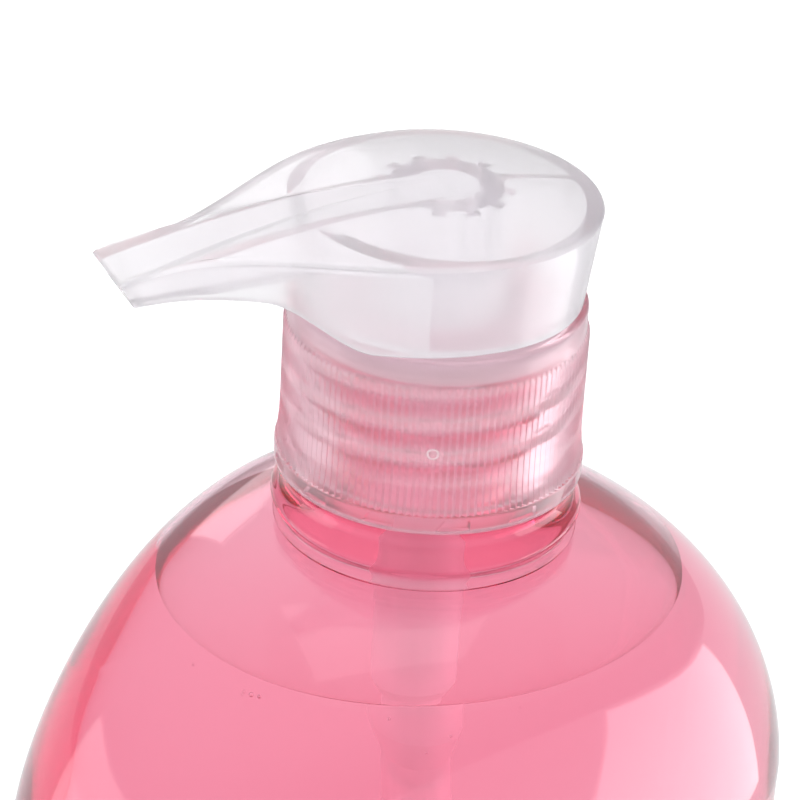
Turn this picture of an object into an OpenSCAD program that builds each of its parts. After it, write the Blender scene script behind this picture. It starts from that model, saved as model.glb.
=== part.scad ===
// Body wash bottle with a lotion pump, its head screwed down in the locked position.
// Millimetres. The origin is the middle of the bottle's foot, +Z is up and X is the body's long axis.

/* [Bottle body] */
// Length of the body at its widest level
body_l = 105; // [100:1:112]
// Depth of the body at its widest level
body_w = 69; // [66:1:76]
// Length that the body loses from its widest level down to the foot
foot_loss_l = 8; // [2:0.5:14]
// Depth that the body loses from its widest level down to the foot
foot_loss_w = 4.4; // [1:0.2:8]
// Height of the widest level above the foot
widest_h = 151; // [140:1:158]
// Height of the foot of the neck, where the shoulder begins
shoulder_h = 192; // [188:1:196]
// Squareness of the body's oval section, where 2 is an ellipse
body_square = 2.25; // [2:0.05:2.6]
// Thickness of the blown wall
wall = 0.9; // [0.6:0.1:1.4]
// Rounding between the side and the foot
foot_round = 8; // [5:0.5:10]
// Width of the flat ring that the bottle stands on
foot_ring = 3.5; // [2:0.5:5]
// Height of the hollow pushed up under the foot
push_up = 4.5; // [2:0.5:7]

/* [Bottle neck] */
// Radius of the shoulder where the neck stands on it
neck_foot_r = 18.5; // [17.9:0.1:19.5]
// Radius of the neck between its two beads
neck_r = 17.6; // [17:0.1:18.2]
// How far the upper bead stands out
bead_rise = 1.4; // [0.8:0.1:1.8]
// Height of the upper bead above the foot of the neck
bead_up = 3.2; // [2.6:0.1:3.6]
// How far the lower bead stands out
low_bead_rise = 1.0; // [0.6:0.1:1.4]
// Radius of the finish under the closure
finish_r = 14.9; // [14.4:0.1:15.2]
// Radius of the bottle's mouth
mouth_r = 12.9; // [12:0.1:13.4]
// Height of the finish from the closure's lower rim to the lip
finish_h = 18.5; // [17:0.5:20]
// Gap between the shoulder's foot of the neck and the closure's lower rim
neck_gap = 8; // [7:0.5:10]

/* [Closure] */
// Radius of the closure's lower rim
rim_r = 18.75; // [18.4:0.05:19.2]
// Radius of the closure's smooth upper band
band_r = 17.85; // [17.5:0.05:18.1]
// Height of the smooth upper band
band_h = 3.3; // [2:0.1:5]
// Radius over the ribs
rib_r = 18.25; // [18.1:0.05:18.5]
// Depth of the grooves between the ribs
rib_depth = 0.3; // [0.2:0.05:0.45]
// Number of ribs
ribs = 130; // [60:10:140]
// Height of the flared band under the ribs
flare_h = 3.2; // [2:0.2:5]
// Height of the band of ratchet lugs at the rim
lug_h = 2.3; // [1.6:0.1:3]
// Number of ratchet lugs
lugs = 13; // [10:1:18]
// Radius inside the closure's wall
closure_in_r = 16.35; // [16.2:0.05:16.6]
// Thickness of the closure's top plate
closure_top = 1.3; // [1:0.1:1.8]

/* [Pump head] */
// Radius of the head at its upper edge
head_r = 18.7; // [18:0.1:20]
// Radius of the head at its lower edge
head_low_r = 17.2; // [16.6:0.1:17.8]
// Height of the head's side wall
head_h = 12.1; // [11:0.1:14]
// Rise of the domed top above the upper edge
dome = 2.2; // [1:0.1:3]
// Reach of the spout from the pump's axis
spout_l = 41.6; // [38:0.2:50]
// Width of the spout's tip
tip_w = 9.4; // [9:0.2:12]
// Height of the spout's tip
tip_h = 3.5; // [3.2:0.1:5]
// Drop of the spout's tip below the head's upper edge
tip_drop = 3.0; // [1:0.1:4]
// How far the mouth's lower lip is set back
tip_slant = 1.9; // [0.5:0.1:3]
// Thickness of the head's walls
head_wall = 1.2; // [1:0.1:1.5]
// Thickness of the head's top plate
head_plate = 1.3; // [1:0.1:1.6]
// Width of the channel inside the spout
duct_w = 6.2; // [4.5:0.1:6.4]
// Turn of the spout away from the body's long axis
head_yaw = 7.6; // [0:0.2:20]
// Radius over the splines of the boss
spline_r = 8.1; // [7.7:0.1:9]
// Number of splines
splines = 12; // [8:1:16]
// Radius of the boss under its splines
boss_r = 6.2; // [5.6:0.1:6.4]

/* [Pump] */
// Full travel of the head
stroke = 18; // [12:0.5:20]
// Radius of the stem
stem_r = 3.6; // [3.4:0.1:3.8]
// Radius of the bore through the stem
stem_bore = 2.4; // [2:0.1:2.6]
// Outer radius of the pump cylinder
barrel_r = 5.4; // [5.2:0.1:6]
// Bore of the pump cylinder
barrel_bore = 4.6; // [4.5:0.05:4.8]
// Depth of the cylinder's taper below the closure's lower rim
barrel_depth = 38.5; // [38:0.5:44]
// Length of the tube socket under the cylinder
socket_h = 14.5; // [10:0.5:20]
// Outer radius of the tube socket
socket_r = 3.9; // [3.6:0.1:4.2]
// Outer radius of the dip tube
tube_r = 2.95; // [2.6:0.05:3.1]
// Bore of the dip tube
tube_bore = 2.1; // [1.6:0.1:2.3]
// Clearance between the tube's lower end and the bottle's floor
tube_clear = 3.2; // [2:0.2:10]
// Thickness of the spring's wire
wire = 0.8; // [0.6:0.05:0.85]
// Number of turns of the spring
turns = 10; // [7:1:11]
// Radius of the inlet ball
ball_r = 2; // [1.9:0.05:2.2]
// Thickness of the neck gasket
gasket_h = 1; // [0.8:0.1:1.5]
// Running clearance round the stem, the piston and the valve rod
run_clear = 0.06; // [0.03:0.01:0.09]
// Clearance between parts that move past each other
part_clear = 0.4; // [0.3:0.05:0.6]

/* [Body wash] */
// Depth of the body wash's level below the foot of the neck
fill_drop = 8.9; // [8:0.1:22]
// Gap between the body wash and the pieces that dip into it
fill_clear = 0.3; // [0.3:0.05:0.5]

/* [Hidden] */

$fn = 96;
sides = 48;           // points round the body's oval rings
cut = 1;              // how far a cutter runs past the face that it opens
skin_gap = 0.06;      // gap between the body wash and the bottle's wall
fill_z = shoulder_h - fill_drop;
turned = 1.63;        // swell of the shoulder along the body
turned_w = 4.63;      // swell of the shoulder across the body
shoulder_l = 1.6;     // roundness of the shoulder along the body
shoulder_w = 1.73;    // roundness of the shoulder across the body
foot_curve = 1.6;     // how the side falls in towards the foot
bead_spread = 1.5;    // half height of the upper bead
low_bead_up = 0.3;    // height of the lower bead above the foot of the neck
low_bead_spread = 0.55;
lip_round = 0.4;      // bevel at the bottle's lip
draw_low = 1.6;       // how far under the closure's rim the neck starts to draw in
draw_h = 3;           // height over which it draws in
fillet_h = 4;         // height of the fillet inside the foot of the neck
fillet_in = 1;
floor_corner = 0.9;   // rounding between the floor and the side inside
floor_out = 1;

// Levels, from the bottle's neck up to the head
rim_z = shoulder_h + neck_gap;
lip_z = rim_z + finish_h;
flange_h = 0.9;
flange_r = closure_in_r - 0.45;
ring_flange_h = 0.8;
flange_z = lip_z + gasket_h;
ring_z = flange_z + flange_h;
plate_z = ring_z + ring_flange_h;
closure_z = plate_z + closure_top;
head_z = closure_z + part_clear;
edge_z = head_z + head_h;

// Lock ring
ring_wall = 1.6;
ring_bore = boss_r + part_clear;
ring_r = ring_bore + ring_wall;
ring_flange_w = 3.4;
ring_flange_r = ring_r + ring_flange_w;
ring_floor = 1.1;
ring_up = 4.8;        // how far the ring stands out of the closure
ring_top = closure_z + ring_up;

// Boss of the head
boss_up = 1.4;        // room under the boss for the lock
boss_z = ring_z + ring_floor + 2 * part_clear + boss_up;
spline_z = ring_top + 2 * part_clear;
spline_depth = 1.2;
spline_share = 0.42;  // share of the pitch that each spline takes
boss_in = 0.3;        // how far the boss runs up into the top plate
boss_top = edge_z + dome - head_plate + boss_in;
chamber_r = 4;
chamber_h = 4.3;      // height of the chamber over the stem
chamber_roof = 0.8;
stem_top = boss_top - chamber_roof - chamber_h;

// Cylinder, from the taper down
taper_h = 4;
taper_z = rim_z - barrel_depth;
ledge_up = 0.5;
ledge_z = taper_z + ledge_up;
seat_wall = 1.2;      // width of the ledge that the ball cage sits on
cage_in_r = 2.6;      // radius of the ball's chamber
seat_r = 1.4;
seat_drop = 1.5;
seat_z = taper_z - taper_h - seat_drop;
socket_floor = 1.5;
socket_z = taper_z - taper_h - socket_h;
tube_top = seat_z - socket_floor;
ball_lift = sqrt(2) * ball_r;

// Plunger, from the ball cage up
cage_h = 1;
spring_z = ledge_z + cage_h;
spring_l = 10.6;      // length of the spring with the head locked down
spring_room = 0.45;   // gap between the spring and the cylinder's bore
spring_r = barrel_bore - wire / 2 - spring_room;
disc_z = spring_z + spring_l;
disc_h = 1.8;
disc_r = barrel_bore - part_clear;
plunger_gap = 0.2;    // play of the piston between the disc and the stem
piston_z = disc_z + disc_h + plunger_gap;
piston_h = 8.8;
stem_z = piston_z + piston_h + plunger_gap;
sleeve_z = stem_z + stroke - plunger_gap + part_clear;
rod_r = 1.5;
rod_plug_h = 10;      // length of the rod that is pressed into the stem

// Oval sections and the closed skins made from them
function bent(v, power) = sign(v) * pow(abs(v), power);
function oval(z, a, b, square = 2) =
    [for (i = [0:sides - 1]) let (t = 360 * i / sides)
        [a * bent(cos(t), 2 / square), b * bent(sin(t), 2 / square), z]];
function round_ring(z, r) = oval(z, r, r);
function at(n, j, i) = 1 + j * n + i % n;

module skin(loops, first, last) {
    n = len(loops[0]);
    m = len(loops) - 1;
    polyhedron(
        points = concat([first], [for (loop = loops) each loop], [last]),
        faces = concat(
            [for (i = [0:n - 1]) [0, at(n, 0, i), at(n, 0, i + 1)]],
            [for (j = [0:m - 1], i = [0:n - 1]) [at(n, j, i), at(n, j + 1, i), at(n, j + 1, i + 1)]],
            [for (j = [0:m - 1], i = [0:n - 1]) [at(n, j, i), at(n, j + 1, i + 1), at(n, j, i + 1)]],
            [for (i = [0:n - 1]) [1 + (m + 1) * n, at(n, m, i + 1), at(n, m, i)]]));
}

// Half length and half depth of the body's outside at a height from the foot to the shoulder
function below(z) = pow((widest_h - z) / widest_h, foot_curve);
function corner(z) = z < foot_round ? foot_round - sqrt(pow(foot_round, 2) - pow(foot_round - z, 2)) : 0;
function above(z) = 1 - (shoulder_h - z) / (shoulder_h - widest_h);
function swell(z, power, round) = pow(1 - pow(above(z), power), 1 / round);
function body_a(z) = z > widest_h
    ? neck_foot_r + (body_l / 2 - neck_foot_r) * swell(z, turned, shoulder_l)
    : body_l / 2 - foot_loss_l / 2 * below(z) - corner(z);
function body_b(z) = z > widest_h
    ? neck_foot_r + (body_w / 2 - neck_foot_r) * swell(z, turned_w, shoulder_w)
    : body_w / 2 - foot_loss_w / 2 * below(z) - corner(z);
function body_n(z) = z > widest_h ? body_square - (body_square - 2) * above(z) : body_square;

// Slope of the side, as the outward direction in the plane of height and half width
function lean(z) = let (d = 0.02,
    rise = (body_a(z + d) + body_b(z + d) - body_a(z - d) - body_b(z - d)) / 2,
    long = norm([2 * d, rise])) [2 * d / long, -rise / long];
function side_ring(z, inward) = let (n = lean(z))
    oval(z - inward * n[1], body_a(z) - inward * n[0], body_b(z) - inward * n[0], body_n(z));

// Heights of the rings: the rounding at the foot, the long side and the shoulder
round_levels = [for (k = [1:6]) foot_round * (1 - cos(15 * k))];
side_levels = [for (k = [1:10]) foot_round + (widest_h - foot_round) * k / 10];
shoulder_steps = 16;
function shoulder_level(k) = widest_h + (shoulder_h - widest_h) * (1 - cos(180 * k / shoulder_steps)) / 2;
outer_levels = concat(round_levels, side_levels, [for (k = [1:shoulder_steps - 1]) shoulder_level(k)]);

// Neck of the bottle: a wall with two beads that runs in under the closure
function bump(z, middle, spread) = exp(-pow((z - middle) / spread, 2));
function ease(v) = let (k = min(1, max(0, v))) k * k * (3 - 2 * k);
function neck_outer(z) = let (up = z - shoulder_h, under = ease((z - rim_z + draw_low) / draw_h))
    (1 - under) * (neck_r + bead_rise * bump(up, bead_up, bead_spread)
        + low_bead_rise * bump(up, low_bead_up, low_bead_spread)) + under * finish_r;
neck_levels = [for (k = [0:16]) shoulder_h + (rim_z + draw_low - shoulder_h) * k / 16];

// Underside of the foot and the same shape inside the bottle, from the middle out
function foot_a() = body_a(0) - foot_ring;
function foot_b() = body_b(0) - foot_ring;
function foot_loop(k, lift) = oval(push_up * (1 - k * k) + lift, foot_a() * k, foot_b() * k, body_square);
foot_steps = [0.4, 0.7, 0.88, 1];
floor_share = 0.99;

function bottle_loops() = concat(
    [for (k = foot_steps) foot_loop(k, 0)],
    [oval(0, body_a(0), body_b(0), body_square)],
    [for (z = outer_levels) side_ring(z, 0)],
    [for (z = neck_levels) round_ring(z, neck_outer(z))],
    [round_ring(lip_z - lip_round, finish_r), round_ring(lip_z, finish_r - lip_round)],
    [round_ring(lip_z, mouth_r)],
    [for (k = [0:6]) let (t = 90 * k / 6, w = neck_foot_r - mouth_r - fillet_in)
        round_ring(shoulder_h + fillet_h - (fillet_h + wall) * sin(t), mouth_r + w * (1 - cos(t)))],
    inner_loops(wall, len(outer_levels) - 2));

// Inside of the bottle from a ring of the side down to the middle of the floor
function inner_loops(inward, top) = concat(
    [for (k = [top:-1:3]) side_ring(outer_levels[k], inward)],
    [oval(inward + floor_corner, body_a(0) + floor_out, body_b(0) + floor_out, body_square)],
    [for (k = [len(foot_steps) - 1:-1:0]) foot_loop(foot_steps[k] * floor_share, inward)]);

// Body wash: the inside of the bottle up to the fill line, less the room of the cylinder and its tube
fill_top = [for (k = [0:len(outer_levels) - 1]) if (outer_levels[k] < fill_z - 1) k];
fill_in_r = barrel_r + fill_clear;
tube_low = push_up + wall + tube_clear;

function wash_loops() = let (inward = wall + skin_gap, up = inner_loops(inward, len(fill_top) - 1)) concat(
    [for (k = [len(up) - 1:-1:0]) up[k]],
    [side_cut(fill_z, inward)],
    [round_ring(fill_z, fill_in_r), round_ring(taper_z, fill_in_r)],
    [round_ring(taper_z - taper_h, socket_r + fill_clear), round_ring(socket_z, socket_r + fill_clear)],
    [for (z = [socket_z, tube_low]) round_ring(z - fill_clear, tube_r + fill_clear)]);

// The wall's inside at the fill line itself, found from the ring just above it
function side_cut(z, inward) = let (up = z + inward * lean(z + inward / 2)[1], n = lean(up))
    oval(z, body_a(up) - inward * n[0], body_b(up) - inward * n[0], body_n(up));

// Outline of the head seen from above, with the spout along +X
narrow_end = 0.875;   // share of the spout's reach where its sides reach the tip's width
narrowing = 1.15;
drop_start = 0.29;    // share of the spout's reach where the upper edge starts to fall
falling = 1.6;
arch_back = 2.5;      // how far inside the skirt the lower edge starts to rise
arch_run = 11;
edge_round = 0.5;     // rounding along the upper edge
function half_width(s) = let (q = min(1, max(0, s) / (spout_l * narrow_end)))
    tip_w / 2 + (head_r - tip_w / 2) * pow(cos(90 * pow(q, narrowing)), 2);
function edge_drop(s) = tip_drop * pow(max(0, s / spout_l - drop_start) / (1 - drop_start), falling);
function upper_edge(s) = edge_z - edge_drop(s);
function arch(s) = ease((s - head_low_r + arch_back) / arch_run) * (upper_edge(spout_l) - tip_h - head_z);
function lower_edge(s) = head_z + arch(s);
flank_steps = 16;
back_steps = 24;
flank_end = 0.98;
function flank_s(k) = spout_l * (flank_end - (2 * flank_end - 1) * k / flank_steps);
tip_side = [for (k = [-1, -0.5, 0, 0.5, 1]) [spout_l, tip_w / 2 * k, 1, k == 1 || k == -1 ? k : 0]];
function flank(sign) = [for (k = [1:flank_steps - 1]) let (s = flank_s(k), d = 0.1,
    fall = (half_width(s + d) - half_width(s - d)) / (2 * d), long = norm([fall, 1]))
        [s, sign * half_width(s), -fall / long, sign / long]];
function reversed(list) = [for (k = [len(list) - 1:-1:0]) list[k]];
outline = concat(tip_side, flank(1),
    [for (k = [0:back_steps]) let (t = 90 + 180 * k / back_steps)
        [head_r * cos(t), head_r * sin(t), cos(t), sin(t)]],
    reversed(flank(-1)));
draft = (head_r - head_low_r) / head_h;

// One point of the outline moved in by a distance at the sides and another at the tip's face
function moved(p, side, tip) = let (face = p[0] > spout_l - 0.01)
    [p[0] - (face ? tip * p[2] : side * p[2]),
     face && p[3] == 0 ? p[1] * (1 - 2 * side / tip_w) : p[1] - side * p[3]];
function wall_loop(k, inward) = [for (p = outline) let (
    top = upper_edge(p[0]) - (inward > 0 ? head_plate : edge_round), low = lower_edge(p[0]),
    z = top + (low - top) * k, depth = upper_edge(p[0]) - z,
    q = moved(p, draft * depth + inward, tip_slant / tip_h * depth + inward)) [q[0], q[1], z]];
function top_loop(k, lower, inward) = [for (p = outline) let (q = moved(p, inward, inward) * k)
    [q[0], q[1], upper_edge(q[0]) + dome * (1 - k * k) - lower]];

// The thin shell of the head: out along its ceiling, down inside the wall, up outside it and in over the top
module head_shell() {
    skin(concat(
            [for (k = [0.2, 0.4, 0.6, 0.8, 0.97]) top_loop(k, head_plate, head_wall)],
            [for (k = [0, 0.5, 1]) wall_loop(k, head_wall)],
            [for (k = [1, 0.66, 0.33, 0]) wall_loop(k, 0)],
            [for (k = [0.99, 0.95, 0.8, 0.6, 0.4, 0.2]) top_loop(k, 0, 0)]),
        [0, 0, edge_z + dome - head_plate], [0, 0, edge_z + dome]);
}

// Channel of the spout: its outside and its bore, as side profiles pulled out to their widths
duct_back = 2.2;      // distance from the tip to the end of the channel's walls
duct_start = 3;
duct_wall = 1;
duct_rise = 1.6;      // rise of the channel's floor from the tip to the axis
duct_under = 0.8;     // thickness of the channel's floor
duct_over = 0.25;     // how far the bore stays under the top plate
duct_in = 0.35;       // how far the channel's walls run into the top plate
function duct_floor(s) = upper_edge(spout_l) - tip_h + duct_rise * (1 - s / spout_l);
function duct_roof(s) = upper_edge(s) + dome * (1 - pow(s / spout_l, 2));
module pulled(width, profile) {
    translate([0, width / 2, 0]) rotate([90, 0, 0]) linear_extrude(height = width) polygon(profile);
}

module duct_body() {
    end = spout_l - duct_back;
    steps = [for (k = [0:9]) duct_start + (end - duct_start) * k / 9];
    pulled(duct_w + 2 * duct_wall, concat([for (s = steps) [s, duct_floor(s)]],
        [for (s = reversed(steps)) [s, duct_roof(s) - head_plate + duct_in]]));
}

module duct_bore() {
    far = spout_l + cut;
    steps = [for (k = [0:9]) far * k / 9];
    pulled(duct_w, concat([for (s = steps) [s, duct_floor(s) + duct_under]],
        [for (s = reversed(steps)) [s, duct_roof(min(s, spout_l)) - head_plate - duct_over]]));
}

// The splined boss under the top plate
module splined(r, depth, count, share) {
    pitch = 360 / count;
    polygon([for (i = [0:count - 1], side = [0:3])
        let (t = pitch * (i + share / 2 * (side == 0 || side == 1 ? -1 : 1)),
             at_r = side == 1 || side == 2 ? r : r - depth) [at_r * cos(t), at_r * sin(t)]]);
}

module pump_head() {
    color([0.93, 0.92, 0.95, 0.6])
    rotate([0, 0, 180 - head_yaw])
    difference() {
        union() {
            head_shell();
            round_wall();
            duct_body();
            translate([0, 0, spline_z]) linear_extrude(height = boss_top - spline_z)
                splined(spline_r, spline_depth, splines, spline_share);
            translate([0, 0, boss_z]) cylinder(r = boss_r, h = spline_z - boss_z + cut);
            back_rib();
        }
        translate([0, 0, boss_z - cut]) cylinder(r = stem_r, h = stem_top - boss_z + cut);
        translate([0, 0, stem_top]) cylinder(r = chamber_r, h = chamber_h);
        duct_bore();
    }
}

round_in = 0.35;      // how far the round wall stands inside the head's outer wall
round_t = 1;
rib_h = 5;
rib_w = 1.2;

// Round wall that closes the head's skirt under the spout
module round_wall() {
    low = head_low_r - round_in;
    high = head_r - round_in;
    top = edge_z - round_in;
    rotate_extrude() polygon([[low - round_t, head_z], [low, head_z], [high, top], [high - round_t, top]]);
}

// Rib from the boss to the back of the skirt, along the ceiling
module back_rib() {
    start = -head_low_r - rib_w / 6;
    steps = [for (k = [0:4]) start + (head_low_r - boss_r) * k / 4];
    pulled(rib_w, concat([[steps[0], edge_z - rib_h], [steps[4], edge_z - rib_h]],
        [for (s = reversed(steps)) [s, edge_z + dome * (1 - pow(s / head_r, 2)) - head_plate / 2]]));
}

module bottle() {
    color([0.97, 0.62, 0.70, 0.45])
    skin(bottle_loops(), [0, 0, push_up], [0, 0, push_up + wall]);
}

module body_wash() {
    color([0.93, 0.32, 0.46, 0.7])
    skin(wash_loops(), [0, 0, push_up + wall + skin_gap], [0, 0, tube_low - fill_clear]);
}

band_bevel = 0.5;
rim_bevel = 0.3;
rim_wall = 1.45;      // thickness of the closure at its rim
lug_w = 3.4;
lug_depth = 0.35;
lug_web = 0.4;        // height of the closed band over the lugs
lug_cut = 2;

// The closure's ribs stand between a flared band at its rim and a smooth band at its top
module closure() {
    flare_z = rim_z + lug_h;
    rib_z = flare_z + flare_h;
    band_z = closure_z - band_h;
    color([0.95, 0.90, 0.93, 0.6])
    difference() {
        union() {
            rotate_extrude() polygon([[0, rim_z], [rim_r - rim_bevel / 2, rim_z], [rim_r, rim_z + rim_bevel],
                [rim_r, flare_z], [rib_r + rim_bevel / 3, rib_z], [0, rib_z]]);
            translate([0, 0, rib_z]) linear_extrude(height = band_z - rib_z)
                splined(rib_r, rib_depth, ribs, 0.5);
            rotate_extrude() polygon([[0, band_z], [rib_r - rib_depth, band_z], [band_r, band_z + band_bevel],
                [band_r, closure_z - band_bevel], [band_r - band_bevel, closure_z], [0, closure_z]]);
        }
        translate([0, 0, flare_z]) cylinder(r = closure_in_r, h = plate_z - flare_z);
        translate([0, 0, rim_z - cut]) cylinder(r = rim_r - rim_wall, h = lug_h + cut);
        translate([0, 0, plate_z - cut]) cylinder(r = ring_r + part_clear, h = closure_top + 2 * cut);
        for (i = [0:lugs - 1]) rotate([0, 0, 360 * i / lugs])
            translate([rim_r - lug_depth, -lug_w / 2, rim_z - cut])
                cube([lug_cut, lug_w, lug_h - lug_web + cut]);
    }
}

// Ring with the female lock thread, held between the closure's plate and the cylinder's flange
module lock_ring() {
    color([0.95, 0.95, 0.97])
    rotate_extrude() polygon([
        [stem_r + run_clear, sleeve_z], [barrel_bore, sleeve_z], [barrel_bore, ring_z],
        [ring_flange_r, ring_z], [ring_flange_r, plate_z], [ring_r, plate_z], [ring_r, ring_top],
        [ring_bore, ring_top], [ring_bore, ring_z + ring_floor], [stem_r + run_clear, ring_z + ring_floor]]);
}

module pump_cylinder() {
    color([0.94, 0.94, 0.96, 0.8])
    rotate_extrude() polygon([
        [barrel_bore, ring_z], [flange_r, ring_z], [flange_r, flange_z], [barrel_r, flange_z],
        [barrel_r, taper_z], [socket_r, taper_z - taper_h], [socket_r, socket_z], [tube_r, socket_z],
        [tube_r, tube_top], [seat_r, tube_top], [seat_r, seat_z], [cage_in_r, seat_z + cage_in_r - seat_r],
        [cage_in_r, ledge_z], [barrel_bore, ledge_z]]);
}

module neck_gasket() {
    color([0.96, 0.96, 0.94])
    translate([0, 0, lip_z]) difference() {
        cylinder(r = finish_r + gasket_h, h = gasket_h);
        translate([0, 0, -cut]) cylinder(r = mouth_r, h = gasket_h + 2 * cut);
    }
}

module stem() {
    color([0.95, 0.95, 0.97])
    translate([0, 0, stem_z]) difference() {
        cylinder(r = stem_r, h = stem_top - stem_z);
        translate([0, 0, -cut]) cylinder(r = stem_bore, h = stem_top - stem_z + 2 * cut);
    }
}

// Piston ring with a lip at each end that wipes the cylinder's bore
module piston() {
    lip = barrel_bore - run_clear;
    lip_h = 1;
    groove = 0.5;
    waist = lip - groove;
    bore = rod_r + run_clear;
    bevel = 0.7;
    color([0.90, 0.92, 0.95])
    translate([0, 0, piston_z]) rotate_extrude() polygon([
        [bore, lip_h], [lip - bevel, 0], [lip, 0], [lip, lip_h], [waist, 2 * lip_h],
        [waist, piston_h - 2 * lip_h], [lip, piston_h - lip_h], [lip, piston_h],
        [lip - bevel, piston_h], [bore, piston_h - lip_h]]);
}

// Valve rod: a disc under the piston, a rod through it and a fluted plug pressed into the stem
module piston_valve() {
    flute = 1.6;
    flute_in = 0.1;
    hub = 1.3;
    color([0.88, 0.89, 0.92])
    difference() {
        union() {
            translate([0, 0, disc_z]) cylinder(r = disc_r, h = disc_h);
            translate([0, 0, disc_z]) cylinder(r = rod_r, h = stem_z - disc_z + cut);
            translate([0, 0, stem_z]) cylinder(r = stem_bore, h = rod_plug_h);
        }
        for (t = [0:90:270]) rotate([0, 0, t]) {
            translate([rod_r - flute_in, -flute / 2, stem_z - cut])
                cube([stem_bore, flute, rod_plug_h + 2 * cut]);
            translate([rod_r + hub, -flute / 2, disc_z - cut]) cube([disc_r, flute, disc_h + 2 * cut]);
        }
    }
}

// Return spring: a round wire wound at an even pitch between its two ends
wire_sides = 6;
turn_steps = 14;
end_gap = 0.02;
coil_rise = spring_l - wire - 2 * end_gap;
function coil_z(k) = spring_z + end_gap + wire / 2 + coil_rise * k / (turns * turn_steps);
function coil_loop(k) = let (t = 360 * k / turn_steps)
    [for (i = [0:wire_sides - 1]) let (w = 30 - 360 * i / wire_sides, r = spring_r + wire / 2 * cos(w))
        [r * cos(t), r * sin(t), coil_z(k) + wire / 2 * sin(w)]];
function coil_end(k) = let (t = 360 * k / turn_steps) [spring_r * cos(t), spring_r * sin(t), coil_z(k)];

module spring() {
    steps = turns * turn_steps;
    color([0.55, 0.56, 0.58])
    skin([for (k = [0:steps]) coil_loop(k)], coil_end(0), coil_end(steps));
}

// Cage that keeps the ball over its seat: a slotted disc on the ledge with a ring under it
module ball_cage() {
    ring_out = cage_in_r - 0.1;
    ball_play = 0.6;
    ring_low = seat_z + ball_lift + ball_r + ball_play;
    ring_h = ledge_z - ring_low;
    slot_w = 1.2;
    slot_l = seat_wall + 2.2;
    low = ring_low - cut;
    tall = ring_h + cage_h + 2 * cut;
    color([0.92, 0.92, 0.94])
    difference() {
        union() {
            translate([0, 0, ledge_z]) cylinder(r = barrel_bore, h = cage_h);
            translate([0, 0, ring_low]) cylinder(r = ring_out, h = ring_h + cage_h / 2);
        }
        translate([0, 0, low]) cylinder(r = ring_out - cage_h, h = tall);
        for (t = [0:90:270]) rotate([0, 0, t])
            translate([0, -slot_w / 2, low]) cube([slot_l, slot_w, tall]);
    }
}

// The ball rests in the conical seat, which slopes at 45 degrees
module inlet_ball() {
    rest = 0.04;
    color([0.80, 0.82, 0.84])
    translate([0, 0, seat_z + ball_lift - seat_r + rest]) sphere(r = ball_r);
}

// Dip tube from its socket down to the floor, cut at a slant
module dip_tube() {
    slant = 30;
    reach = 3 * tube_r;
    color([0.93, 0.93, 0.95, 0.8])
    difference() {
        translate([0, 0, tube_low]) cylinder(r = tube_r, h = tube_top - tube_low);
        translate([0, 0, tube_low - cut]) cylinder(r = tube_bore, h = tube_top - tube_low + 2 * cut);
        translate([0, 0, tube_low]) rotate([0, slant, 0])
            translate([-reach, -reach, -reach]) cube([2 * reach, 2 * reach, reach]);
    }
}

bottle();
body_wash();
closure();
pump_head();
stem();
lock_ring();
pump_cylinder();
neck_gasket();
piston();
piston_valve();
spring();
ball_cage();
inlet_ball();
dip_tube();
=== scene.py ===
import bpy
import bmesh
from math import sin, cos, pi, sqrt, exp, radians, hypot, atan2, remainder
from mathutils import Vector, Matrix


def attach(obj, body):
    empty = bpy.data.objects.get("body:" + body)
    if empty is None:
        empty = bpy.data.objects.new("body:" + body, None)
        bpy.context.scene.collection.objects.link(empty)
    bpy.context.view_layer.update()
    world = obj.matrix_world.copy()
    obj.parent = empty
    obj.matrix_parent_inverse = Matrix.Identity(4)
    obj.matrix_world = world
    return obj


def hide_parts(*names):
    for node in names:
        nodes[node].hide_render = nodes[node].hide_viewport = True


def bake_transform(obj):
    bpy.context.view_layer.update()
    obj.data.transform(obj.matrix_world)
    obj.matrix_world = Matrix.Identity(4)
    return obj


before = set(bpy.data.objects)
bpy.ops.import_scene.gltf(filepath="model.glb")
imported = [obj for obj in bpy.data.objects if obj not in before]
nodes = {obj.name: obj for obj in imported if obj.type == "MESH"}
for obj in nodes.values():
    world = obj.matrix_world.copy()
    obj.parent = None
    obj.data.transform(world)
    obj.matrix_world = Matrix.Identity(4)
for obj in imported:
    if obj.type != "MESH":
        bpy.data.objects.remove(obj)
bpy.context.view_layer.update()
mm = 0.001  # shapes below are written in millimetres


# camera, at the photograph's height and turn
cameraSet = {"turn": -33.5, "dip": 29.9, "roll": -3.8, "reach": 400, "aim": (0, 0, 200),
             "focal": 3290, "middle": (427.9, 455.2), "frame": 800, "sensor": 36, "nearest": 10}


def placeCamera(opts):
    turn, dip, roll = (radians(opts[key]) for key in ("turn", "dip", "roll"))
    ahead = Vector((-sin(turn) * cos(dip), cos(turn) * cos(dip), -sin(dip)))
    right = Vector((cos(turn), sin(turn), 0))
    above = right.cross(ahead)
    side = right * cos(roll) - above * sin(roll)
    top = right * sin(roll) + above * cos(roll)
    lens = bpy.data.cameras.new("studioCamera")
    lens.sensor_width = opts["sensor"]
    lens.lens = opts["sensor"] * opts["focal"] / opts["frame"]
    lens.shift_x = 0.5 - opts["middle"][0] / opts["frame"]
    lens.shift_y = opts["middle"][1] / opts["frame"] - 0.5
    lens.clip_start = opts["nearest"] * mm
    camera = bpy.data.objects.new("studioCamera", lens)
    axes = Matrix((side, top, -ahead)).transposed().to_4x4()
    axes.translation = (Vector(opts["aim"]) - ahead * opts["reach"]) * mm
    camera.matrix_world = axes
    bpy.context.scene.collection.objects.link(camera)
    bpy.context.scene.camera = camera


placeCamera(cameraSet)
print("camera placed")


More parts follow.
